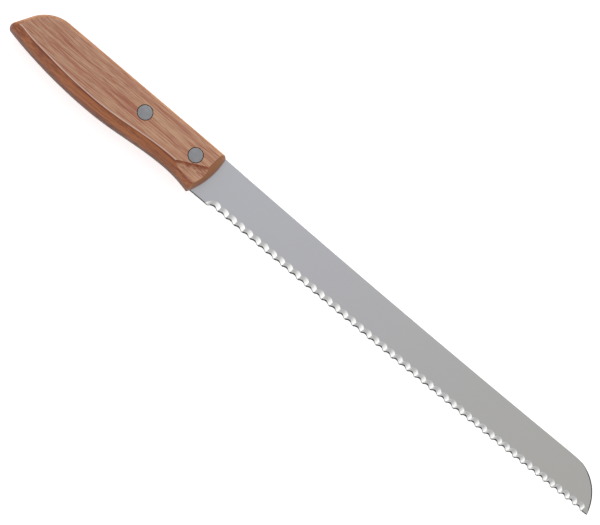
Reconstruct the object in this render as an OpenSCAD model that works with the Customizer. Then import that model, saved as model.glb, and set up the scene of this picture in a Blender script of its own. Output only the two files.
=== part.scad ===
// Bread knife: a stamped, serrated steel blade whose half-length tang sits in a slot sawn into
// a one-piece wooden handle, held by two two-part cutlery rivets. The knife lies on its side.
// +X runs to the tip, +Y to the spine, and +Z is the side that carries the ground scallops.
// Each sub-part is drawn from the point where the spine leaves the handle, with Z = 0 halfway
// through the blade; in_place() then moves it to the middle of the knife's footprint.

/* [Blade] */
// Length of the blade in front of the handle
blade_l = 250; // [235:1:270]
// Height of the unserrated heel
heel_h = 22.4; // [22:0.1:23]
// Thickness of the ground blade
blade_t = 1.8; // [1.4:0.1:1.9]
// How far the spine dips below a straight line
spine_dip = 0.8; // [0:0.1:1.2]
// Radius of the rounded end between the spine and the tip
tip_r = 22; // [20:0.5:26]
// Height of the blade at its deepest, measured to the tooth tips
edge_h = 21.8; // [21:0.1:22]
// Radius of the long curve that the tooth tips follow
edge_r = 5450; // [5000:50:8000]
// Distance from the handle to the deepest point of that curve
edge_x = 77; // [60:1:100]

/* [Serration] */
// Distance between tooth tips
pitch = 4.985; // [4.95:0.005:5]
// Number of scallops
scallops = 48; // [40:1:48]
// Distance from the handle to the first scallop
heel_l = 7.35; // [6:0.05:8]
// Slope of each scallop's floor against the blade's face, in degrees
scallop_slope = 34; // [32:1:45]
// Radius of the scallops at the heel
heel_scallop_r = 6; // [5:0.1:7]
// Radius of the scallops at the tip
tip_scallop_r = 3.45; // [3.2:0.05:4]
// Depth of the notches in the edge at the heel
heel_notch = 0.55; // [0.4:0.05:0.7]
// Depth of the notches in the edge at the tip
tip_notch = 1.05; // [0.7:0.05:1.2]

/* [Tang] */
// Length of the tang inside the handle
tang_l = 52; // [48:1:60]
// Thickness of the tang, left as stamped
tang_t = 2; // [1.9:0.1:2.2]
// Recess of the tang's edges below the wood
tang_recess = 0.05; // [0.05:0.05:0.3]
// Room around the tang in its slot
slot_gap = 0.02; // [0.02:0.01:0.1]

/* [Handle] */
// Length of the handle
handle_l = 113.5; // [108:0.5:120]
// Thickness of the handle between its flat sides
handle_t = 17; // [16:0.5:19]
// Height of the handle at the belly
belly_h = 24.6; // [24:0.1:26]
// Distance from the blade back to the belly
belly_x = 63; // [58:1:68]
// Radius of the belly behind its lowest point
belly_r = 234; // [200:2:260]
// Height of the handle at the waist behind the finger guard
waist_h = 21.8; // [21.5:0.1:23]
// Distance from the blade back to the waist
waist_x = 21; // [19:1:24]
// Radius of the finger guard's flare
guard_r = 62; // [55:1:80]
// Radius of the rounding that runs across the belly from side to side
belly_round = 9.7; // [9:0.1:11]
// Radius of the rounding along the top
top_round = 2.6; // [1.5:0.1:3]
// Radius of the round corner where the top runs into the butt
butt_r = 17; // [12:0.5:20]
// Slope of the butt's end face, in degrees
butt_slope = 61; // [58:1:72]
// Radius of the butt's lower corner
butt_corner_r = 1.6; // [1:0.1:2]
// Height of the rounding that leads from each flat side to the butt's end face
butt_round = 4.5; // [3:0.1:6]
// Setback of the flat sides behind the butt's end face
butt_back = 2.9; // [2:0.1:3.5]
// Radius of the nose's curve, seen from the side
nose_r = 37; // [32:1:45]
// Distance below the spine of the nose's foremost point
nose_y = 5.5; // [4:0.5:8]
// Setback of the flat sides behind the nose, along the top
nose_back = 3.3; // [2.5:0.1:4]

/* [Thumb relief] */
// Radius of the scooped relief below the front rivet
relief_r = 12; // [10:1:16]
// Half the width of the relief where it cuts the flat side
relief_half_w = 5.5; // [4:0.5:6]
// Direction of the relief against the spine, in degrees
relief_turn = 27.6; // [24:0.2:32]
// Distance from the blade back to the relief's rear point
relief_x = 18; // [16:0.5:20]

/* [Rivets] */
// Distance from the blade back to the front rivet
front_rivet_x = 12.3; // [12:0.1:14]
// Distance between the rivets
rivet_spacing = 30; // [26:1:32]
// Distance of the rivets below the top
rivet_drop = 9.3; // [8.8:0.1:9.6]
// Diameter of the rivet heads
head_d = 7; // [6.6:0.1:7.2]
// Thickness of the rivet heads
head_t = 1.4; // [1:0.1:1.8]
// Diameter of the tubular rivet halves
tube_d = 4.8; // [4.4:0.1:5]
// Diameter of the solid rivet halves
pin_d = 3.2; // [2.8:0.1:3.4]

/* [Hidden] */
wood = [0.66, 0.45, 0.33];
steel = [0.72, 0.72, 0.72];
bright = [0.62, 0.63, 0.65];
cut = 1;                                  // how far cutters run past what they cut
half_t = handle_t / 2;
rear_rivet_x = front_rivet_x + rivet_spacing;
head_recess = 0.05;
counterbore_d = head_d + 0.5;
head_floor = half_t - head_recess - head_t;
tube_gap = 0.1;                           // radial room around the tube in the wood and tang
pin_gap = 0.01;                           // radial room around the pin in the tube
tip_start = blade_l - tip_r;              // where the spine runs into the rounded end
waisted_l = blade_l - 30;                 // length of the dipped stretch of spine
tip_angle = asin((tip_r - edge_depth(blade_l)) / tip_r);
tip_x = tip_start + tip_r * cos(tip_angle);
teeth_x = heel_l + pitch;                 // first tooth tip
flat_w = 9.2;                             // half-axis of the nose's elliptical rounding
nose_lean = 0.1086;                       // slope of the flat sides' front edge
mid_y = -11;                              // height about which the side outline shrinks
layers = 7;                               // layers on each side of the middle
butt_x = -handle_l + butt_corner_r;       // centre of the butt's lower corner
butt_y = belly(butt_x) + butt_corner_r / cos(belly_turn(butt_x));
top_x = butt_x + ((-butt_r - butt_y) * cos(butt_slope) + butt_r - butt_corner_r) / sin(butt_slope);
guard_x = -5;                             // lower front corner of the handle

// Depth of the tooth tips below the spine's straight line.
function edge_depth(x) = edge_h - pow(x - edge_x, 2) / (2 * edge_r);

// Spine, dipped in a shallow curve.
function spine(x) = -spine_dip * (1 - pow(2 * x / waisted_l - 1, 2));

// Underside of the handle: belly, waist and finger guard.
function belly(x) =
    x < -belly_x ? -belly_h + pow(x + belly_x, 2) / (2 * belly_r)
    : x < -waist_x ? -belly_h + (belly_h - waist_h)
        * (1 - cos(180 * (x + belly_x) / (belly_x - waist_x))) / 2
    : -waist_h - pow(x + waist_x, 2) / (2 * guard_r);

// Slope of the rear part of the belly, in degrees.
function belly_turn(x) = atan((x + belly_x) / belly_r);

// Front of the handle halfway through its thickness, and on its flat sides.
function nose(y) = -nose_r + sqrt(pow(nose_r, 2) - pow(y + nose_y, 2));
function flat_front(y) = -nose_back + nose_lean * y;

// Inset of an elliptical rounding of size r that starts r inside the flat side.
function rounding(z, r) =
    r * (1 - sqrt(1 - pow(max(0, abs(z) - half_t + r) / (r + 0.05), 2)));

// Inset of the belly's rounding, which runs across the whole thickness.
function belly_inset(z) = belly_round - sqrt(pow(belly_round, 2) - z * z);

// Share of the way from the nose's middle to the flat side's front edge.
function nose_share(z) =
    (1 - sqrt(1 - pow(z / flat_w, 2))) / (1 - sqrt(1 - pow(half_t / flat_w, 2)));

// Arc points about a centre, and a rounded corner at p between a and b.
function arc(centre, r, from, to, n) =
    [for (i = [0:n]) let (t = from + (to - from) * i / n) centre + r * [cos(t), sin(t)]];
function towards(p, q, d) = p + d * (q - p) / norm(q - p);
function corner(p, a, b, d) =
    let (s = towards(p, a, d), e = towards(p, b, d)) [s, (s + 2 * p + e) / 4, e];
function steps(from, to, n) = [for (i = [0:n]) from + (to - from) * i / n];

// Where the butt's end face lies at height y, halfway through the thickness.
function butt_face(y) = butt_x - butt_corner_r / sin(butt_slope) + (y - butt_y) / tan(butt_slope);

// Eases from 0 to 1.
function ease(t) = let (s = min(1, max(0, t))) s * s * (3 - 2 * s);

// Side outline of the handle halfway through its thickness, anticlockwise from the top front.
lower_front = [guard_x, belly(guard_x)];
upper_front = [nose(0), 0];
outline = concat(
    [for (x = steps(-6, top_x + 6, 6)) [x, 0]],
    arc([top_x, -butt_r], butt_r, 90, 90 + butt_slope, 8),
    arc([butt_x, butt_y], butt_corner_r, 90 + butt_slope, 270 + belly_turn(butt_x), 5),
    [for (x = steps(butt_x + 4, -belly_x, 9)) [x, belly(x)]],
    [for (x = steps(-belly_x + 4, -waist_x, 10)) [x, belly(x)]],
    [for (x = steps(-waist_x + 3, guard_x - 2, 4)) [x, belly(x)]],
    corner(lower_front, [guard_x - 2, belly(guard_x - 2)], [nose(-belly_h + 3), -belly_h + 3], 1),
    [for (y = steps(-belly_h + 3, -2, 7)) [nose(y), y]],
    corner(upper_front, [nose(-2), -2], [-6, 0], 0.8)
);

// A point of the outline, drawn in to where it lies at height z. At the butt the belly's edge
// slides up along the end face.
function drawn_in(p, z) =
    let (
        above = max(0, (p.y - mid_y) / -mid_y),
        below = max(0, (mid_y - p.y) / (mid_y - belly(p.x))),
        front = pow(max(0, 1 + p.x / 20), 2),
        rear = ease((-p.x - handle_l + 22) / 16),
        slide = min(1, max(0, 1 - (p.x - butt_face(p.y)) / 3)),
        setback = (flat_front(p.y) - nose(p.y)) * nose_share(z) * front,
        end_inset = butt_back * rounding(z, butt_round) / rounding(half_t, butt_round) * rear,
        rise = belly_inset(z) * below * (1 - 0.15 * rear)
    ) [
        p.x + setback + end_inset + rise * slide / tan(butt_slope),
        p.y - rounding(z, top_round) * above + rise,
        z
    ];

// The same point at any height: past the flat sides it carries on straight.
function lofted(p, z) =
    abs(z) < half_t ? drawn_in(p, z)
    : 2 * drawn_in(p, sign(z) * half_t) - drawn_in(p, sign(z) * handle_t - z);

module in_place() {
    translate([(handle_l - tip_x) / 2, belly_h / 2, half_t]) children();
}

module on_rivet(x) {
    translate([-x, -rivet_drop, 0]) children();
}

// Handle blank with rounded edges, lofted a little past both flat sides and cut off flat there.
module handle_blank() {
    n = len(outline);
    last_z = half_t * sin(90 * (layers - 1) / layers);
    inner = [for (k = [1 - layers:layers - 1]) half_t * sin(90 * k / layers)];
    heights = concat([last_z - handle_t], inner, [handle_t - last_z]);
    rings = len(heights);
    ends = [for (z = [heights[0], heights[rings - 1]]) [-handle_l / 2, mid_y, z]];
    points = concat([for (z = heights) for (p = outline) lofted(p, z)], ends);
    walls = [
        for (k = [0:rings - 2]) for (i = [0:n - 1])
            let (a = k * n + i, b = k * n + (i + 1) % n)
                for (face = [[a, a + n, b], [b, a + n, b + n]]) face
    ];
    lower_end = [for (i = [0:n - 1]) [rings * n, i, (i + 1) % n]];
    last = (rings - 1) * n;
    upper_end = [for (i = [0:n - 1]) [rings * n + 1, last + (i + 1) % n, last + i]];
    intersection() {
        polyhedron(points, concat(walls, lower_end, upper_end));
        translate([-handle_l - cut, -belly_h - cut, -half_t])
            cube([handle_l + 2 * cut, belly_h + 2 * cut, handle_t]);
    }
}

// Cutter for the scooped relief on the upper flat side.
module relief_cutter() {
    lift = sqrt(pow(relief_r, 2) - pow(relief_half_w, 2));
    translate([-relief_x, belly(-relief_x) + belly_inset(half_t), half_t])
        rotate([0, 0, relief_turn])
            translate([-10, -relief_half_w, lift])
                rotate([0, 90, 0])
                    cylinder(h = 40, r = relief_r, $fn = 96);
}

// Hole through the handle for one rivet, with a counterbore for each head.
module rivet_hole() {
    cylinder(h = handle_t + 2 * cut, d = tube_d + 2 * tube_gap, center = true, $fn = 48);
    for (side = [0, 1])
        mirror([0, 0, side])
            translate([0, 0, head_floor])
                cylinder(h = head_t + head_recess + cut, d = counterbore_d, $fn = 48);
}

module handle() {
    slot_l = tang_l + 0.5;
    slot_w = tang_t + 2 * slot_gap;
    color(wood) in_place() difference() {
        handle_blank();
        translate([-slot_l, -belly_h - cut, -slot_w / 2])
            cube([slot_l + cut, belly_h + 2 * cut, slot_w]);
        for (side = [0, 1]) mirror([0, 0, side]) relief_cutter();
        on_rivet(front_rivet_x) rivet_hole();
        on_rivet(rear_rivet_x) rivet_hole();
    }
}

// Side outline of the blade in front of the handle.
module blade_outline() {
    polygon(concat(
        [for (x = steps(0, waisted_l, 22)) [x, spine(x)]],
        arc([tip_start, -tip_r], tip_r, 90, tip_angle, 20),
        [for (x = steps(blade_l - 4, teeth_x, 30)) [x, -edge_depth(x)]],
        [[heel_l, -heel_h], [0, -heel_h]]
    ));
}

// Side outline of the tang and of the short stretch that leaves the handle.
module tang_outline() {
    top = -tang_recess;
    polygon(concat(
        [[0.3, 0], [nose(0) - 0.5, 0], [nose(0) - 0.5, top], [-tang_l + 3, top], [-tang_l, top - 3]],
        [[-tang_l, belly(-tang_l) + 3]],
        [for (x = steps(-tang_l + 3, guard_x - 1, 16)) [x, belly(x) + tang_recess]],
        [[guard_x - 1, -heel_h], [0.3, -heel_h]]
    ));
}

// Cutter for one scallop, whose floor slopes down to the edge.
module scallop_cutter(x, notch, r) {
    translate([x, -edge_depth(x) + notch, -blade_t / 2])
        rotate([90 + scallop_slope, 0, 0])
            translate([0, r, -4 * blade_t])
                cylinder(h = 6 * blade_t, r = r, $fn = 64);
}

module blade() {
    color(steel) in_place() difference() {
        union() {
            translate([0, 0, -blade_t / 2]) linear_extrude(blade_t) blade_outline();
            translate([0, 0, -tang_t / 2]) linear_extrude(tang_t) tang_outline();
        }
        for (i = [0:scallops - 1])
            let (share = i / (scallops - 1))
                scallop_cutter(
                    heel_l + (i + 0.5) * pitch,
                    heel_notch + (tip_notch - heel_notch) * share,
                    heel_scallop_r + (tip_scallop_r - heel_scallop_r) * share
                );
        for (x = [front_rivet_x, rear_rivet_x])
            on_rivet(x) cylinder(h = 2 * tang_t, d = tube_d + 2 * tube_gap, center = true, $fn = 48);
    }
}

// Solid half of a rivet, entered from the upper side.
module rivet_male() {
    pin_l = 2 * head_floor - 1;
    translate([0, 0, head_floor]) cylinder(h = head_t, d = head_d, $fn = 64);
    translate([0, 0, head_floor - pin_l]) cylinder(h = pin_l, d = pin_d, $fn = 48);
}

// Tubular half of a rivet, entered from the lower side.
module rivet_female() {
    tube_l = 2 * head_floor - 0.4;
    difference() {
        translate([0, 0, -head_floor - head_t]) union() {
            cylinder(h = head_t, d = head_d, $fn = 64);
            cylinder(h = head_t + tube_l, d = tube_d, $fn = 48);
        }
        translate([0, 0, -head_floor]) cylinder(h = tube_l + cut, d = pin_d + 2 * pin_gap, $fn = 48);
    }
}

module front_rivet_male() {
    color(bright) in_place() on_rivet(front_rivet_x) rivet_male();
}

module front_rivet_female() {
    color(bright) in_place() on_rivet(front_rivet_x) rivet_female();
}

module rear_rivet_male() {
    color(bright) in_place() on_rivet(rear_rivet_x) rivet_male();
}

module rear_rivet_female() {
    color(bright) in_place() on_rivet(rear_rivet_x) rivet_female();
}

handle();
blade();
front_rivet_male();
front_rivet_female();
rear_rivet_male();
rear_rivet_female();
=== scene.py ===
"""Bread knife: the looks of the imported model, as detailed meshes with procedural materials.

Shapes are worked out in millimetres in the part's own coordinates, as in part.scad: x = 0 at the
front of the handle, +x to the tip, y = 0 at the top of the handle, z = 0 halfway through the blade.
Sizes that part.scad has too carry the same values here. Angles are in radians unless a comment
says otherwise, and colours are linear.
"""

import math
import bmesh
import bpy
from mathutils import Matrix, Vector


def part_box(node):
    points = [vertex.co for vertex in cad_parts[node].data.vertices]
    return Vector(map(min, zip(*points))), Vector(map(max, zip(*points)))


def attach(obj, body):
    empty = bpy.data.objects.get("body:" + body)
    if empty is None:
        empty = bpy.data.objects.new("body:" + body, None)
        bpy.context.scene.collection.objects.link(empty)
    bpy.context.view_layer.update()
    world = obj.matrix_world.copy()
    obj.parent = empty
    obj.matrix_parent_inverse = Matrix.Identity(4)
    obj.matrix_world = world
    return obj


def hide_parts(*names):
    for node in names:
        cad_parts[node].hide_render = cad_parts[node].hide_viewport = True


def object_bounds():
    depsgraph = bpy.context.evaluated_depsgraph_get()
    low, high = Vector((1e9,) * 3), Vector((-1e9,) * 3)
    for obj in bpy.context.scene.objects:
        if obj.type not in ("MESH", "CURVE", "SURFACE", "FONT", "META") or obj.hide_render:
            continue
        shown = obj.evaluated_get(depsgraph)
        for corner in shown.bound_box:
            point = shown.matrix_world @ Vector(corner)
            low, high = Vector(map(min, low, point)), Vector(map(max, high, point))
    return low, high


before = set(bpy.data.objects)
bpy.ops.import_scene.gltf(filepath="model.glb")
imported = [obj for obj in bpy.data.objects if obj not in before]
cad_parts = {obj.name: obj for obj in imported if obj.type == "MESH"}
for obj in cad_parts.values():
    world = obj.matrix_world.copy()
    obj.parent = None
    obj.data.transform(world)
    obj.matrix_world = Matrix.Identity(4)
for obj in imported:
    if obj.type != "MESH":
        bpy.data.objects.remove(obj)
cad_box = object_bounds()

MM = 0.001

# Blade
BLADE_L = 250
HEEL_H = 22.4
BLADE_T = 1.8
TANG_T = 2.0
SPINE_DIP = 0.8
WAISTED_L = BLADE_L - 30
TIP_R = 22
TIP_START = BLADE_L - TIP_R
EDGE_H = 21.8
EDGE_R = 5450
EDGE_X = 77
TANG_L = 52
TANG_CHAMFER = 3
TANG_RECESS = 0.05
MICRO_BEVEL_W = 0.4
MICRO_BEVEL_T = 0.1

# Rounds along the blade's back: at the handle and beyond it, then at the tip's start and further on
CREST_ROUND = (0.1, 0.2)
TIP_ROUND = (0.2, 0.95)
CREST_STEPS = 6
RAW_AND_SHADOW_FROM = 0.3  # rounds larger than this are left raw and painted dark as shadow

# Serration. The pairs are for the first scallop and the last one, and BRINK is the length of raw
# edge, painted dark as shadow, on a scallop's rear wall and on its front wall.
PITCH = 4.985
SCALLOPS = 48
HEEL_L = 7.35
FIRST_CUT_X = 5.1
SCALLOP_STEPS = 20
SCALLOP_SLOPE = math.radians(34)
SCALLOP_R = (6, 3.45)
NOTCH = (0.55, 1.05)
BRINK = (0.75, 0.25)

# Handle
HANDLE_L = 113.5
HALF_T = 8.5
BELLY_H = 24.6
BELLY_X = 63
BELLY_R = 234
WAIST_H = 21.8
WAIST_X = 21
GUARD_R = 62
GUARD_X = -5
BELLY_ROUND = 9.7
TOP_ROUND = 2.6
BUTT_R = 17
BUTT_SLOPE = math.radians(61)
BUTT_CORNER_R = 1.6
BUTT_ROUND = 4.5
BUTT_BACK = 2.9
NOSE_R = 37
NOSE_Y = 5.5
NOSE_BACK = 3.3
NOSE_LEAN = 0.1086
NOSE_FOOT_Y = 3 - BELLY_H
NOSE_FADE = 20  # the flat sides' setback at the front is gone this far behind it
FLAT_W = 9.2
MID_Y = -11
REAR_FADE_X = 22  # from the rear end, where the butt's rounding begins
REAR_FADE = 16  # and how far it takes to be whole
REAR_FLATTER = 0.15
SLIDE_L = 3  # points this near to the butt's face slide along it
ROUND_SLACK = 0.05  # keeps a round from ending at a right angle to the flat side
SLOT_L = 52.5
SLOT_W = 2.04

# Small round where the handle's walls meet its flat sides: EASE down the wall, and LIP along the
# flat side towards a line at MID_Y between the two core points
EASE = 0.35
LIP = 0.6
CORE_FRONT = -14
CORE_REAR = -98
WALL_STEPS = 18
LIP_STEPS = 5

# Thumb relief
RELIEF_R = 12
RELIEF_HALF_W = 5.5
RELIEF_TURN = math.radians(27.6)
RELIEF_X = 18
RELIEF_LEAD = 10
RELIEF_L = 40
RELIEF_SEGMENTS = 180

# Rivets
RIVET_X = {"front": 12.3, "rear": 42.3}
RIVET_DROP = 9.3
HEAD_R = 3.5
HEAD_T = 1.4
HEAD_RECESS = 0.05
HEAD_FLOOR = HALF_T - HEAD_RECESS - HEAD_T
COUNTERBORE_R = 3.75
HOLE_R = 2.5
TUBE_R = 2.4
TUBE_SHORT = 0.4
TUBE_CHAMFER = 0.15
PIN_R = 1.6
PIN_SHORT = 1
PIN_CHAMFER = 0.2
PIN_ROOM = 0.01
CROWN = 0.08
HEAD_ROUND = 0.22

CLEAR = 1  # how far a cutter reaches past what it cuts


# ---------------------------------------------------------------- shape formulas, as in part.scad

def edge_depth(x):
    """Depth below the handle's top of the line on which the scallops' tips lie."""
    return EDGE_H - (x - EDGE_X) ** 2 / (2 * EDGE_R)


def spine(x):
    return -SPINE_DIP * (1 - (2 * x / WAISTED_L - 1) ** 2) if 0 < x < WAISTED_L else 0.0


TIP_ANGLE = math.asin((TIP_R - edge_depth(BLADE_L)) / TIP_R)
TIP_X = TIP_START + TIP_R * math.cos(TIP_ANGLE)


def belly(x):
    if x < -BELLY_X:
        return -BELLY_H + (x + BELLY_X) ** 2 / (2 * BELLY_R)
    if x < -WAIST_X:
        swing = math.cos(math.pi * (x + BELLY_X) / (BELLY_X - WAIST_X))
        return -BELLY_H + (BELLY_H - WAIST_H) * (1 - swing) / 2
    return -WAIST_H - (x + WAIST_X) ** 2 / (2 * GUARD_R)


def nose(y):
    """The handle's front end halfway through its thickness."""
    return -NOSE_R + math.sqrt(NOSE_R ** 2 - (y + NOSE_Y) ** 2)


def flat_front(y):
    """The handle's front end at its flat sides."""
    return -NOSE_BACK + NOSE_LEAN * y


def rounding(z, r):
    """How far a round of that radius draws a wall in at height z."""
    return r * (1 - math.sqrt(1 - (max(0, abs(z) - HALF_T + r) / (r + ROUND_SLACK)) ** 2))


def belly_inset(z):
    """How far the belly lies above its lowest line at height z."""
    return BELLY_ROUND - math.sqrt(BELLY_ROUND ** 2 - z * z)


def nose_share(z):
    """0 halfway through the handle, growing to 1 at its flat sides."""
    return (1 - math.sqrt(1 - (z / FLAT_W) ** 2)) / (1 - math.sqrt(1 - (HALF_T / FLAT_W) ** 2))


def smooth(t):
    """Goes gently from 0 to 1 while t does."""
    t = min(1, max(0, t))
    return t * t * (3 - 2 * t)


def blend(start, end, share):
    return start + (end - start) * share


BUTT_X = -HANDLE_L + BUTT_CORNER_R
BELLY_TURN = math.atan((BUTT_X + BELLY_X) / BELLY_R)
BUTT_Y = belly(BUTT_X) + BUTT_CORNER_R / math.cos(BELLY_TURN)


def butt_face(y):
    """The slanted rear end."""
    return BUTT_X - BUTT_CORNER_R / math.sin(BUTT_SLOPE) + (y - BUTT_Y) / math.tan(BUTT_SLOPE)


def drawn_in(p, z):
    """A point of the handle's side outline, drawn in to where it lies at height z."""
    x, y = p
    above = max(0, (y - MID_Y) / -MID_Y)
    below = max(0, (MID_Y - y) / (MID_Y - belly(x)))
    front = max(0, 1 + x / NOSE_FADE) ** 2
    rear = smooth((-x - HANDLE_L + REAR_FADE_X) / REAR_FADE)
    slide = min(1, max(0, 1 - (x - butt_face(y)) / SLIDE_L))
    setback = (flat_front(y) - nose(y)) * nose_share(z) * front
    end_inset = BUTT_BACK * rounding(z, BUTT_ROUND) / rounding(HALF_T, BUTT_ROUND) * rear
    rise = belly_inset(z) * below * (1 - REAR_FLATTER * rear)
    return Vector((
        x + setback + end_inset + rise * slide / math.tan(BUTT_SLOPE),
        y - rounding(z, TOP_ROUND) * above + rise,
        z,
    ))


# ---------------------------------------------------------------- frame and mesh helpers

def part_origin():
    """Where the part's own origin lies in the row frame, in millimetres."""
    handle_low, handle_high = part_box("handle")
    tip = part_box("blade")[1].x
    return Vector((tip / MM - TIP_X, handle_high.y / MM, (handle_low.z + handle_high.z) / 2 / MM))


ORIGIN = part_origin()


def placed(p):
    """A point in part millimetres, as row metres."""
    return (Vector(p) + ORIGIN) * MM


def steps(start, end, count):
    return [start + (end - start) * i / count for i in range(count + 1)]


def mesh_from(name, points, faces):
    mesh = bpy.data.meshes.new(name)
    mesh.from_pydata([placed(p) for p in points], [], faces)
    fixed = bmesh.new()
    fixed.from_mesh(mesh)
    bmesh.ops.recalc_face_normals(fixed, faces=fixed.faces)
    fixed.to_mesh(mesh)
    fixed.free()
    return mesh


def make_object(name, mesh):
    obj = bpy.data.objects.new(name, mesh)
    bpy.context.scene.collection.objects.link(obj)
    return obj


def lofted(sections):
    """Points and faces of a solid over closed sections that all have the same number of points."""
    n = len(sections[0])
    points = [p for section in sections for p in section]
    faces = []
    for k in range(len(sections) - 1):
        for i in range(n):
            a, b = k * n + i, k * n + (i + 1) % n
            faces.append((a, b, b + n, a + n))
    faces.append(tuple(reversed(range(n))))
    faces.append(tuple((len(sections) - 1) * n + i for i in range(n)))
    return points, faces


def turned(name, centre, profile, segments=96):
    """A closed solid of revolution about a line along z. The profile's ends lie on that line."""
    points = [(centre[0], centre[1], profile[0][1]), (centre[0], centre[1], profile[-1][1])]
    rings = profile[1:-1]
    for r, z in rings:
        for i in range(segments):
            a = 2 * math.pi * i / segments
            points.append((centre[0] + r * math.cos(a), centre[1] + r * math.sin(a), z))
    faces = []
    last = 2 + (len(rings) - 1) * segments
    for i in range(segments):
        j = (i + 1) % segments
        faces.append((0, 2 + i, 2 + j))
        faces.append((1, last + j, last + i))
        for k in range(len(rings) - 1):
            a = 2 + k * segments
            faces.append((a + i, a + segments + i, a + segments + j, a + j))
    return mesh_from(name, points, faces)


def carved(body, cutters):
    """Cuts the cutters out of the body for good, and removes them."""
    for cutter in cutters:
        cut = body.modifiers.new("cut", "BOOLEAN")
        cut.operation = "DIFFERENCE"
        cut.solver = "MANIFOLD"
        cut.object = cutter
    scene_now = bpy.context.evaluated_depsgraph_get()
    result = bpy.data.meshes.new_from_object(body.evaluated_get(scene_now))
    body.modifiers.clear()
    body.data = result
    for cutter in cutters:
        bpy.data.objects.remove(cutter)
    return body


def merged(obj):
    """Joins the level pieces that carving leaves into whole faces."""
    level = math.radians(0.02)
    whole = bmesh.new()
    whole.from_mesh(obj.data)
    bmesh.ops.dissolve_limit(whole, angle_limit=level, verts=whole.verts, edges=whole.edges)
    whole.to_mesh(obj.data)
    whole.free()
    return obj


def shaded(obj, crisp_from):
    """Smooth shading, with edges sharp from that angle in degrees, and level faces kept flat."""
    level = 0.9999
    obj.data.shade_smooth()
    obj.data.set_sharp_from_angle(angle=math.radians(crisp_from))
    for face in obj.data.polygons:
        face.use_smooth = abs(face.normal.z) < level
    even = obj.modifiers.new("even_normals", "WEIGHTED_NORMAL")
    even.keep_sharp = True
    return obj


def finished(obj, material, slot, *nodes):
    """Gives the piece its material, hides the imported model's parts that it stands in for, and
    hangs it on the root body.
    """
    obj.data.materials.clear()
    obj.data.materials.append(material)
    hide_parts(*nodes)
    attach(obj, "root")
    return obj


# ---------------------------------------------------------------- materials

class Nodes:
    """One material and short calls that add nodes to it."""

    def __init__(self, name):
        self.material = bpy.data.materials.new(name)
        self.material.use_nodes = True
        self.tree = self.material.node_tree
        self.tree.nodes.clear()

    def add(self, kind, inputs, output=0, **settings):
        node = self.tree.nodes.new("ShaderNode" + kind)
        for name, value in settings.items():
            setattr(node, name, value)
        for name, value in inputs.items():
            socket = node.inputs[name]
            if isinstance(value, bpy.types.NodeSocket):
                self.tree.links.new(value, socket)
            else:
                socket.default_value = value
        return node.outputs[output]

    def math(self, operation, a, b=0.0):
        return self.add("Math", {0: a, 1: b}, operation=operation)

    def times(self, a, b):
        return self.math("MULTIPLY", a, b)

    def minus(self, a, b):
        return self.math("SUBTRACT", a, b)

    def plus(self, a, b):
        return self.math("ADD", a, b)

    def parts(self, vector):
        """The vector's x, y and z."""
        split = self.tree.nodes.new("ShaderNodeSeparateXYZ")
        self.tree.links.new(vector, split.inputs[0])
        return split.outputs[0], split.outputs[1], split.outputs[2]

    def position(self):
        """The row position in millimetres."""
        metres = self.add("TexCoord", {}, output="Object")
        return self.add("Mapping", {"Vector": metres, "Scale": (1 / MM,) * 3})

    def noise(self, vector, stretch, detail=2.0, roughness=0.5):
        """Noise with that many waves to the millimetre along x, y and z."""
        scaled = self.add("VectorMath", {0: vector, 1: stretch}, operation="MULTIPLY")
        inputs = {"Vector": scaled, "Scale": 1.0, "Detail": detail, "Roughness": roughness}
        return self.add("TexNoise", inputs)

    def remap(self, value, low, high, to_low=0.0, to_high=1.0):
        """Goes gently from one value to another while the input goes from low to high."""
        inputs = {"Value": value, "From Min": low, "From Max": high}
        inputs.update({"To Min": to_low, "To Max": to_high})
        return self.add("MapRange", inputs, interpolation_type="SMOOTHSTEP")

    def mix(self, share, a, b):
        """Colour a, with that share of colour b."""
        return self.add("Mix", {"Factor": share, 6: a, 7: b}, output=2, data_type="RGBA")

    def ridge(self, value, middle, reach):
        """1 at the middle value, falling to 0 at that reach to either side."""
        off = self.math("ABSOLUTE", self.minus(value, middle))
        return self.remap(off, 0.0, reach, 1.0, 0.0)

    def bump(self, height, depth, strength):
        return self.add("Bump", {"Height": height, "Distance": depth * MM, "Strength": strength})

    def steepness(self):
        """The shading normal's x, y and the absolute value of its z."""
        x, y, z = self.parts(self.add("NewGeometry", {}, output="Normal"))
        return x, y, self.math("ABSOLUTE", z)

    def surface(self, **inputs):
        """Ends the material with a principled shader, with spaces for the names' underscores."""
        named = {name.replace("_", " "): value for name, value in inputs.items()}
        shader = self.add("BsdfPrincipled", named)
        end = self.tree.nodes.new("ShaderNodeOutputMaterial")
        self.tree.links.new(shader, end.inputs["Surface"])
        return self.material


# Flat sides of the wood
FACE_REAR = (0.49, 0.28, 0.18, 1)
FACE_FRONT = (0.56, 0.325, 0.20, 1)
FACE_FLECK = (0.66, 0.46, 0.30, 1)
FACE_STREAK = (0.33, 0.095, 0.055, 1)
FACE_PORE = (0.2, 0.06, 0.045, 1)

# Belly, first where it faces straight down and then where it nears the flat side; the darker first
# colour is painted shade on top of the side grain's deeper colour
BELLY_WITH_PAINTED_SHADE = ((0.12, 0.032, 0.009, 1), (0.36, 0.115, 0.034, 1))
BELLY_STREAK_WITH_PAINTED_SHADE = ((0.055, 0.014, 0.005, 1), (0.16, 0.035, 0.012, 1))

# Other parts of the walls: the top, lighter as painted light, and the front end, darker end grain
# with painted shade
TOP_WITH_PAINTED_LIGHT = (0.56, 0.27, 0.13, 1)
TOP_STREAK_WITH_PAINTED_LIGHT = (0.38, 0.15, 0.07, 1)
WALL_PORE = (0.12, 0.034, 0.015, 1)
NOSE_END_GRAIN_AND_SHADE = (0.32, 0.13, 0.055, 1)

# Lines along the edge between belly and flat side: a painted highlight, and a red line in the wood
PAINTED_HIGHLIGHT_LINE = (0.72, 0.55, 0.47, 1)
RED_LINE = (0.27, 0.05, 0.04, 1)


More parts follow.
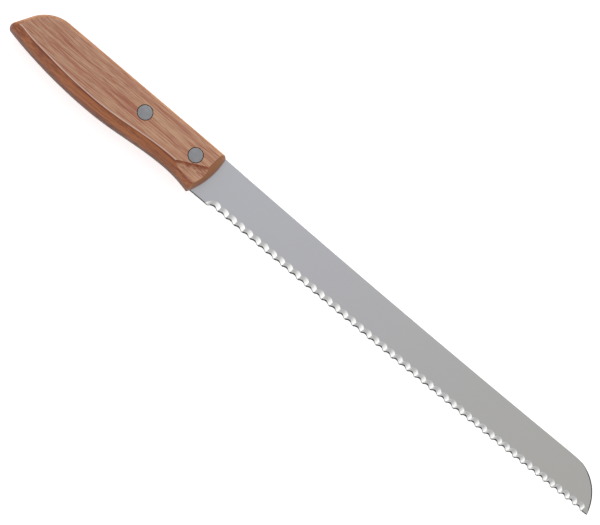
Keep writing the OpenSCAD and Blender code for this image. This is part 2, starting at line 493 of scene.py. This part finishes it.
def wood_material():
    """Oiled pink-brown hardwood with its grain along the handle."""
    n = Nodes("oiled_hardwood")
    place = n.position()
    along, _, height = n.parts(place)
    lean_x, lean_y, flat = n.steepness()

    # Grain, as noises that are stretched along the handle and sway a little
    sway = n.noise(place, (0.018, 0.05, 0.05), detail=1)
    drift = n.times(n.minus(sway, 0.5), 4.0)
    grain = n.add(
        "VectorMath", {0: place, 1: n.add("CombineXYZ", {"Y": drift, "Z": drift})}, operation="ADD"
    )
    bands = n.noise(grain, (0.016, 0.5, 0.4), detail=2)
    streaks = n.noise(grain, (0.045, 2.5, 2.1), detail=4, roughness=0.65)
    threads = n.noise(grain, (0.09, 5.5, 4.5), detail=2, roughness=0.6)
    pores = n.remap(n.noise(grain, (0.13, 4.2, 3.4), detail=1), 0.58, 0.7)
    darkness = n.plus(n.times(bands, 0.35), n.plus(n.times(streaks, 0.65), n.times(threads, 0.3)))

    # The pattern fades on the front end
    pattern = n.minus(1.0, n.times(n.remap(lean_x, 0.3, 0.7), 0.65))
    streak = n.times(n.remap(darkness, 0.58, 0.75), pattern)
    pored = n.times(pores, n.times(pattern, 0.5))

    face = n.mix(n.remap(along, -180, -75), FACE_REAR, FACE_FRONT)
    face = n.mix(n.times(n.remap(threads, 0.5, 0.66), 0.5), face, FACE_FLECK)
    face = n.mix(n.times(streak, 0.85), face, FACE_STREAK)
    face = n.mix(pored, face, FACE_PORE)

    # Walls facing up are lighter: painted light, with the rounds' more saturated grain
    up_facing_painted_light = n.remap(lean_y, -0.35, 0.35)
    # The belly darkens towards where it faces straight down: painted shade
    near_face = n.remap(flat, 0.05, 0.65)
    light = n.mix(up_facing_painted_light, n.mix(near_face, *BELLY_WITH_PAINTED_SHADE), TOP_WITH_PAINTED_LIGHT)
    dark = n.mix(up_facing_painted_light, n.mix(near_face, *BELLY_STREAK_WITH_PAINTED_SHADE), TOP_STREAK_WITH_PAINTED_LIGHT)
    wall = n.mix(pored, n.mix(streak, light, dark), WALL_PORE)
    # The front end darker: end grain, with painted shade
    wall = n.mix(n.times(n.remap(lean_x, 0.2, 0.6), 0.75), wall, NOSE_END_GRAIN_AND_SHADE)
    colour = n.mix(n.remap(flat, 0.9, 0.975), wall, face)

    # Two thin lines on the belly's side, within half a millimetre of the flat side: a painted
    # highlight and a red line in the wood
    from_middle = n.math("ABSOLUTE", n.minus(height, HALF_T))
    at_edge = n.remap(from_middle, HALF_T - 0.45, HALF_T - 0.3)
    below = n.times(n.remap(lean_y, 0.02, -0.12), at_edge)
    painted_highlight = n.times(below, n.ridge(flat, 0.965, 0.045))
    red_line = n.times(below, n.ridge(flat, 0.893, 0.025))
    colour = n.mix(n.times(painted_highlight, 0.85), colour, PAINTED_HIGHLIGHT_LINE)
    colour = n.mix(n.times(red_line, 0.75), colour, RED_LINE)
    return n.surface(
        Base_Color=colour,
        Roughness=n.remap(streaks, 0.3, 0.7, 0.38, 0.52),
        Specular_IOR_Level=0.28,
        Coat_Weight=0.05,
        Coat_Roughness=0.25,
        Normal=n.bump(n.minus(n.times(streaks, 0.4), pores), 0.04, 0.4),
    )


# A painted sheen: the steel is lighter and bluer near the handle, warmer and dimmer towards the tip
STEEL_REAR_PAINTED_SHEEN = (0.64, 0.64, 0.67, 1)
STEEL_FRONT_PAINTED_SHEEN = (0.625, 0.612, 0.58, 1)
GROUND_STEEL = (0.74, 0.735, 0.72, 1)
# Near black where the edge is left raw: painted shadow along the lower edge and round the tip
RAW_STEEL_PAINTED_SHADOW = (0.085, 0.085, 0.083, 1)
GROUND_ROUGHNESS = 0.31
RAW_ROUGHNESS = 0.55
RIVET_DARK = (0.31, 0.315, 0.33, 1)
RIVET_LIGHT = (0.43, 0.435, 0.45, 1)
# The rim of each rivet head is painted dark as shade of the gap round the head
RIVET_RIM_PAINTED_SHADE = (0.09, 0.085, 0.08, 1)


def steel_material():
    """Satin stainless steel with a painted sheen fading from the handle to the tip, bright in the
    ground scallops, and rougher where the edge is left raw, where it is also painted near black as
    shadow.
    """
    n = Nodes("satin_steel")
    place = n.position()
    along = n.parts(place)[0]
    lines = n.noise(place, (0.05, 5.0, 5.0), detail=3, roughness=0.7)
    face = n.remap(n.steepness()[2], 0.93, 0.99)
    # Raw edge: rougher steel, painted near black as shadow
    raw_and_shadow = n.remap(n.add("Attribute", {}, output="Fac", attribute_name="raw_edge_painted_shadow"), 0.35, 0.65)
    # Painted sheen along the blade, brighter near the handle
    satin_painted_sheen = n.mix(n.remap(along, -60, 170), STEEL_REAR_PAINTED_SHEEN, STEEL_FRONT_PAINTED_SHEEN)
    colour = n.mix(raw_and_shadow, n.mix(face, GROUND_STEEL, satin_painted_sheen), RAW_STEEL_PAINTED_SHADOW)
    brushed = n.remap(lines, 0.3, 0.7, 0.34, 0.4)
    rough = n.plus(n.times(face, n.minus(brushed, GROUND_ROUGHNESS)), GROUND_ROUGHNESS)
    return n.surface(
        Base_Color=colour,
        Metallic=1.0,
        Roughness=n.math("MAXIMUM", rough, n.times(raw_and_shadow, RAW_ROUGHNESS)),
        Normal=n.bump(lines, 0.01, 0.25),
    )


def rivet_material():
    """Satin rivet metal, sanded level with the wood, with its rim painted dark as shade."""
    n = Nodes("satin_rivet")
    place = n.position()
    lines = n.noise(place, (0.4, 6.0, 1.0), detail=3, roughness=0.7)
    cloud = n.noise(place, (0.3, 0.6, 0.3), detail=2)
    # Rim of the head painted dark as shade
    head = n.remap(n.steepness()[2], 0.8, 0.97)
    return n.surface(
        Base_Color=n.mix(head, RIVET_RIM_PAINTED_SHADE, n.mix(cloud, RIVET_DARK, RIVET_LIGHT)),
        Metallic=1.0,
        Roughness=n.remap(lines, 0.3, 0.7, 0.3, 0.42),
        Normal=n.bump(lines, 0.01, 0.3),
    )


def floor_material():
    n = Nodes("pale_floor")
    return n.surface(
        Base_Color=(0.75, 0.75, 0.75, 1),
        Roughness=0.9,
        Specular_IOR_Level=0.1,
        Emission_Color=(1, 1, 1, 1),
        Emission_Strength=0.6,
    )


# ---------------------------------------------------------------- handle

def arc(centre, r, start, end, count):
    """Points on an arc, with its angles in degrees."""
    angles = [math.radians(a) for a in steps(start, end, count)]
    return [(centre[0] + r * math.cos(a), centre[1] + r * math.sin(a)) for a in angles]


def corner(p, a, b, size, count=8):
    """A rounded corner at p, between the directions of a and b."""
    p, a, b = Vector(p), Vector(a), Vector(b)
    start = p + size * (a - p).normalized()
    end = p + size * (b - p).normalized()
    curve = [(1 - t) ** 2 * start + 2 * t * (1 - t) * p + t * t * end for t in steps(0, 1, count)]
    return [tuple(q) for q in curve]


def handle_outline():
    """The handle's side outline halfway through its thickness, anticlockwise from the top front."""
    fall = (-BUTT_R - BUTT_Y) * math.cos(BUTT_SLOPE) + BUTT_R - BUTT_CORNER_R
    top_x = BUTT_X + fall / math.sin(BUTT_SLOPE)
    turn = 90 + math.degrees(BUTT_SLOPE)
    guard_from = (GUARD_X - 1, belly(GUARD_X - 1))
    guard_to = (nose(NOSE_FOOT_Y), NOSE_FOOT_Y)
    top_start = -6
    return (
        [(x, 0) for x in steps(top_start, top_x + 1, 50)]
        + arc((top_x, -BUTT_R), BUTT_R, 90, turn, 26)
        + arc((BUTT_X, BUTT_Y), BUTT_CORNER_R, turn, 270 + math.degrees(BELLY_TURN), 12)
        + [(x, belly(x)) for x in steps(BUTT_X + 1, GUARD_X - 1.5, 110)]
        + corner((GUARD_X, belly(GUARD_X)), guard_from, guard_to, 1)
        + [(nose(y), y) for y in steps(NOSE_FOOT_Y + 0.5, -1.2, 26)]
        + corner((nose(0), 0), (nose(-2), -2), (top_start, 0), 0.8)
        + [(x, 0) for x in steps(-2, top_start + 0.8, 4)]
    )


def handle_sections():
    """Outlines from the lower flat side to the upper one, with small rounds into both."""
    outline = handle_outline()
    turns = [math.pi / 2 * k / WALL_STEPS for k in range(-WALL_STEPS, WALL_STEPS + 1)]
    sections = [[drawn_in(p, (HALF_T - EASE) * math.sin(a)) for p in outline] for a in turns]
    for side in (1, -1):
        wall = [drawn_in(p, side * (HALF_T - EASE)) for p in outline]
        edge = [drawn_in(p, side * HALF_T) for p in outline]
        inner = []
        for e in edge:
            core = Vector((min(CORE_FRONT, max(CORE_REAR, e.x)), MID_Y, e.z))
            inner.append(e + LIP * (core - e).normalized())
        rounds = []
        for t in steps(0, 1, LIP_STEPS)[1:]:
            rounds.append([
                (1 - t) ** 2 * w + 2 * t * (1 - t) * e + t * t * q
                for w, e, q in zip(wall, edge, inner)
            ])
        sections = sections + rounds if side > 0 else rounds[::-1] + sections
    return sections


def box_mesh(name, low, high):
    xs, ys, zs = zip(low, high)
    corners = [(x, y, z) for x in xs for y in ys for z in zs]
    faces = [(0, 1, 3, 2), (4, 6, 7, 5), (0, 4, 5, 1), (2, 3, 7, 6), (0, 2, 6, 4), (1, 5, 7, 3)]
    return mesh_from(name, corners, faces)


def relief_mesh(side):
    """A cylinder that scoops the thumb relief out of one flat side."""
    lift = math.sqrt(RELIEF_R ** 2 - RELIEF_HALF_W ** 2)
    along = Vector((math.cos(RELIEF_TURN), math.sin(RELIEF_TURN), 0))
    across = Vector((-along.y, along.x, 0))
    start = Vector((-RELIEF_X, belly(-RELIEF_X) + belly_inset(HALF_T), HALF_T))
    up = Vector((0, 0, 1))
    middle = start - RELIEF_LEAD * along - RELIEF_HALF_W * across + lift * up
    ends = []
    for reach in (0, RELIEF_L):
        ring = []
        for i in range(RELIEF_SEGMENTS):
            a = 2 * math.pi * i / RELIEF_SEGMENTS
            spoke = RELIEF_R * (math.cos(a) * across + math.sin(a) * up)
            p = middle + reach * along + spoke
            ring.append((p.x, p.y, side * p.z))
        ends.append(ring)
    return mesh_from("relief", *lofted(ends))


def rivet_hole_mesh(x):
    reach = HALF_T + CLEAR
    wide, narrow = COUNTERBORE_R, HOLE_R
    profile = [
        (0, -reach), (wide, -reach), (wide, -HEAD_FLOOR), (narrow, -HEAD_FLOOR),
        (narrow, HEAD_FLOOR), (wide, HEAD_FLOOR), (wide, reach), (0, reach),
    ]
    return turned("rivet_hole", (-x, -RIVET_DROP), profile)


def make_handle(material):
    blank = make_object("handle_shaped", mesh_from("handle_shaped", *lofted(handle_sections())))
    slot = box_mesh(
        "slot", (-SLOT_L, -BELLY_H - CLEAR, -SLOT_W / 2), (CLEAR, CLEAR, SLOT_W / 2)
    )
    cutters = [
        make_object("slot", slot),
        make_object("relief_up", relief_mesh(1)),
        make_object("relief_down", relief_mesh(-1)),
    ]
    cutters += [make_object("hole_" + key, rivet_hole_mesh(x)) for key, x in RIVET_X.items()]
    return finished(shaded(merged(carved(blank, cutters)), 20), material, "wood", "handle")


# ---------------------------------------------------------------- blade

def scallop_at(x):
    """The scallop over x as its middle, the depth of its notch and its radius."""
    i = min(SCALLOPS - 1, max(0, int((x - HEEL_L) / PITCH)))
    share = i / (SCALLOPS - 1)
    return HEEL_L + (i + 0.5) * PITCH, blend(*NOTCH, share), blend(*SCALLOP_R, share)


def lower_edge(x):
    """Height of the blade's edge before the scallops are ground."""
    first_tip = HEEL_L + PITCH
    if x <= HEEL_L:
        return -HEEL_H
    if x < first_tip:
        return -HEEL_H + (HEEL_H - edge_depth(first_tip)) * (x - HEEL_L) / PITCH
    return -edge_depth(x)


def top_at(x):
    """The section's top point, the way in from there, and the size of its round."""
    if x <= TIP_START:
        return (x, spine(x)), (0, -1), blend(*CREST_ROUND, smooth(x))
    cosine = (x - TIP_START) / TIP_R
    sine = math.sqrt(1 - cosine ** 2)
    top = (x, -TIP_R + TIP_R * sine)
    rim = blend(*TIP_ROUND, smooth(1.6 * (x - TIP_START) / TIP_R))
    room = 0.3 * (top[1] - lower_edge(x))
    return top, (-cosine, -sine), min(rim, room)


def groove_at(x, half):
    """Where the scallop's floor leaves the face, where it ends, and how high its end lies."""
    thinnest = 0.02
    middle, notch, r = scallop_at(x)
    sag = r - math.sqrt(r * r - (x - middle) ** 2)
    root = -edge_depth(middle) + notch
    upper = root + (2 * half - sag / math.cos(SCALLOP_SLOPE)) / math.tan(SCALLOP_SLOPE)
    lower = max(lower_edge(x), root - sag / math.sin(SCALLOP_SLOPE))
    height = -half + (lower - root) * math.tan(SCALLOP_SLOPE) + sag / math.cos(SCALLOP_SLOPE)
    return upper, lower, min(height, half - thinnest)


def blade_section(top, bottom, inward, bevel, half, groove=None, brink=0.0):
    """One closed section of the blade, as points and how raw, and painted dark as shadow, the steel
    is at each of them.

    With a groove, its floor runs from the upper face to the edge, and the last bit of it, as long as
    the brink, is raw and painted dark as shadow. Without one, that raw, shadow-painted part is a
    micro-bevel at the foot of the upper face.
    """
    x = bottom[0]
    crest = Vector((top[0], top[1], 0))
    way = Vector((inward[0], inward[1], 0))
    front = []
    for a in steps(0, math.pi / 2, CREST_STEPS):
        rise = Vector((0, 0, half - min(bevel, 0.5) * (1 - math.sin(a))))
        front.append(crest + bevel * (1 - math.cos(a)) * way + rise)
    back = [Vector((p.x, p.y, -p.z)) for p in reversed(front)]
    if groove:
        upper = Vector((x, groove[0], half))
        lower = Vector((x, groove[1], groove[2]))
    else:
        upper = Vector((x, bottom[1] + MICRO_BEVEL_W, half))
        lower = Vector((x, bottom[1], half - MICRO_BEVEL_T))
    foot = Vector((x, lower.y, -half))
    face = [front[-1].lerp(upper, s) for s in (1 / 3, 2 / 3)]
    rear = [foot.lerp(back[0], s) for s in (0.004, 1 / 3, 2 / 3)]
    raw_and_shadow_share = min(0.8, brink / max(0.01, (upper - lower).length))
    floor = [upper.lerp(lower, (1 - raw_and_shadow_share) * s) for s in (0.5, 0.97, 1)]
    rim = [0.0] + [1.0] * CREST_STEPS if bevel > RAW_AND_SHADOW_FROM else [0.0] * (CREST_STEPS + 1)
    wall = [0.0] * 2 if groove else [1.0] * 2
    raw_and_shadow = rim + rim[::-1] + [0.0] * 3 + wall + [1.0] * 3 + [0.0] * 3
    return back + front + face + [upper] + floor + [lower, foot] + rear, raw_and_shadow


def tang_sections():
    """The tang, with a chamfered end, up to where it thickens into the blade."""
    half = BLADE_T / 2
    ends = [-TANG_L, -TANG_L + 1, -TANG_L + TANG_CHAMFER]
    sections = []
    for x in ends + steps(-TANG_L + 6, -9, 14) + steps(-8, -5, 4):
        cut_in = max(0, -x - TANG_L + TANG_CHAMFER)
        thick = blend(TANG_T / 2, half, smooth((x + 8) / 3))
        top = (x, -TANG_RECESS - cut_in)
        bottom = (x, belly(x) + TANG_RECESS + cut_in)
        sections.append(blade_section(top, bottom, (0, -1), 0.1, thick))
    return sections


def heel_sections():
    sections = []
    for x in steps(GUARD_X + 0.4, FIRST_CUT_X, 24):
        top, inward, bevel = top_at(x)
        drop = TANG_RECESS * (1 - smooth((x + 1.5) / 1.2))
        sections.append(
            blade_section((x, top[1] - drop), (x, -HEEL_H), inward, bevel, BLADE_T / 2)
        )
    return sections


def scallop_sections(last):
    """The serrated length, from the first scallop's first cut to where the last one ends."""
    half = BLADE_T / 2
    nudge = 1e-6  # keeps a section that lies on a scallop's tip in the scallop in front of it
    heel_part = steps(FIRST_CUT_X + 0.15, HEEL_L - 0.15, 10)
    scallop_part = steps(HEEL_L, last - PITCH / SCALLOP_STEPS, SCALLOPS * SCALLOP_STEPS - 1)
    sections = []
    for x in heel_part + scallop_part:
        top, inward, bevel = top_at(x)
        brink = BRINK[1]
        if x > HEEL_L:
            across = (x - HEEL_L) / PITCH % 1
            brink = blend(*BRINK, smooth((across - 0.45) / 0.3))
        groove = groove_at(x + nudge, half)
        bottom = (x, lower_edge(x))
        sections.append(blade_section(top, bottom, inward, bevel, half, groove, brink))
    return sections


def tip_sections(last):
    """From the last scallop to just short of the tip's foremost point."""
    sections = []
    for angle in steps(0, math.pi / 2, 12)[:-2]:
        x = last + (TIP_X - last) * math.sin(angle)
        top, inward, bevel = top_at(x)
        bottom = (x, lower_edge(x))
        sections.append(blade_section(top, bottom, inward, bevel, BLADE_T / 2))
    return sections


def blade_sections():
    last = HEEL_L + SCALLOPS * PITCH
    return tang_sections() + heel_sections() + scallop_sections(last) + tip_sections(last)


def make_blade(material):
    sections = blade_sections()
    mesh = mesh_from("blade_ground", *lofted([points for points, raw_and_shadow in sections]))
    edge = mesh.attributes.new("raw_edge_painted_shadow", "FLOAT", "POINT")
    edge.data.foreach_set("value", [r for points, raw_and_shadow in sections for r in raw_and_shadow])
    blade = make_object("blade_ground", mesh)
    reach = TANG_T / 2 + CLEAR
    profile = [(0, -reach), (HOLE_R, -reach), (HOLE_R, reach), (0, reach)]
    holes = []
    for key, x in RIVET_X.items():
        hole = turned("tang_hole", (-x, -RIVET_DROP), profile)
        holes.append(make_object("tang_hole_" + key, hole))
    carved(blade, holes)
    return finished(shaded(blade, 17), material, "blade_steel", "blade")


# ---------------------------------------------------------------- rivets

def domed_head():
    """Profile of a shallow domed head from its rim's underside to its middle, for the upper side."""
    top = HEAD_FLOOR + HEAD_T
    rim = top - CROWN
    dome_r = HEAD_R - HEAD_ROUND
    points = [(HEAD_R, HEAD_FLOOR)]
    for a in steps(0, math.pi / 2, 4)[:-1]:
        r = HEAD_R - HEAD_ROUND * (1 - math.cos(a))
        points.append((r, rim - HEAD_ROUND * (1 - math.sin(a))))
    for s in steps(0, 1, 8)[:-1]:
        r = dome_r * (1 - s)
        points.append((r, top - CROWN * (r / dome_r) ** 2))
    return points + [(0, top)]


def make_rivet(key, x, material):
    """A pin with a head above, pressed into a tube with a head below."""
    pin_end = -HEAD_FLOOR + PIN_SHORT
    pin = [
        (0, pin_end), (PIN_R - PIN_CHAMFER, pin_end),
        (PIN_R, pin_end + PIN_CHAMFER), (PIN_R, HEAD_FLOOR),
    ]
    tube_end = HEAD_FLOOR - TUBE_SHORT
    bore = PIN_R + PIN_ROOM
    tube = [
        (TUBE_R, -HEAD_FLOOR), (TUBE_R, tube_end - TUBE_CHAMFER),
        (TUBE_R - TUBE_CHAMFER, tube_end), (bore, tube_end),
        (bore, -HEAD_FLOOR), (0, -HEAD_FLOOR),
    ]
    lower_head = [(r, -z) for r, z in reversed(domed_head())]
    for half, profile in (("male", pin + domed_head()), ("female", lower_head + tube)):
        node = f"{key}_rivet_{half}"
        turned_mesh = turned(node, (-x, -RIVET_DROP), profile)
        obj = make_object(node + "_turned", turned_mesh)
        finished(shaded(obj, 25), material, "rivet_metal", node)


# ---------------------------------------------------------------- stage

def make_floor(material):
    half = 3.0
    corners = [(-half, -half, 0), (half, -half, 0), (half, half, 0), (-half, half, 0)]
    mesh = bpy.data.meshes.new("floor")
    mesh.from_pydata(corners, [], [(0, 1, 2, 3)])
    mesh.materials.append(material)
    make_object("floor", mesh)


def aimed(obj, position, target, up=(0, 0, 1)):
    """Puts a light or camera at a position, looking at a target, with its top towards up."""
    away = (Vector(position) - Vector(target)).normalized()
    right = Vector(up).cross(away).normalized()
    top = away.cross(right)
    turn = Matrix((right, top, away)).transposed()
    obj.matrix_world = Matrix.Translation(position) @ turn.to_4x4()


def make_light(name, middle, position, size, power, colour):
    """A softbox at a position from the knife's middle, facing it."""
    light = bpy.data.lights.new(name, "AREA")
    light.shape = "RECTANGLE"
    light.size, light.size_y = size
    light.energy = power
    light.color = colour
    aimed(make_object(name, light), Vector(position) + middle, middle)


def make_lights(middle):
    make_light(
        "left_softbox", middle, position=(-0.66, -0.85, 0.32), size=(2.4, 0.8), power=5.4,
        colour=(1.0, 1.0, 1.0),
    )
    make_light(
        "far_softbox", middle, position=(-0.15, 1.1, 0.75), size=(1.5, 0.8), power=8,
        colour=(1.0, 0.99, 0.97),
    )
    world = bpy.data.worlds.new("studio")
    world.use_nodes = True
    background = world.node_tree.nodes["Background"]
    background.inputs["Color"].default_value = (0.97, 0.98, 1.0, 1)
    background.inputs["Strength"].default_value = 0.62
    bpy.context.scene.world = world


def make_camera():
    """The photo's viewpoint: from above and a little in front, with the knife on a diagonal."""
    camera = bpy.data.cameras.new("camera")
    camera.sensor_width = 36
    camera.lens = 62.92
    camera.clip_start = 0.01
    obj = make_object("camera", camera)
    place = (-0.07375, -0.0850, 0.4975)
    target = (-0.01025, -0.0025, 0.0085)
    aimed(obj, place, target, up=(-0.639, 0.767, 0.047))
    bpy.context.scene.camera = obj


def main():
    make_handle(wood_material())
    make_blade(steel_material())
    rivet_metal = rivet_material()
    for key, x in RIVET_X.items():
        make_rivet(key, x, rivet_metal)
    make_floor(floor_material())
    make_lights((cad_box[0] + cad_box[1]) / 2)
    make_camera()
    bpy.context.scene.view_settings.view_transform = "Standard"


main()
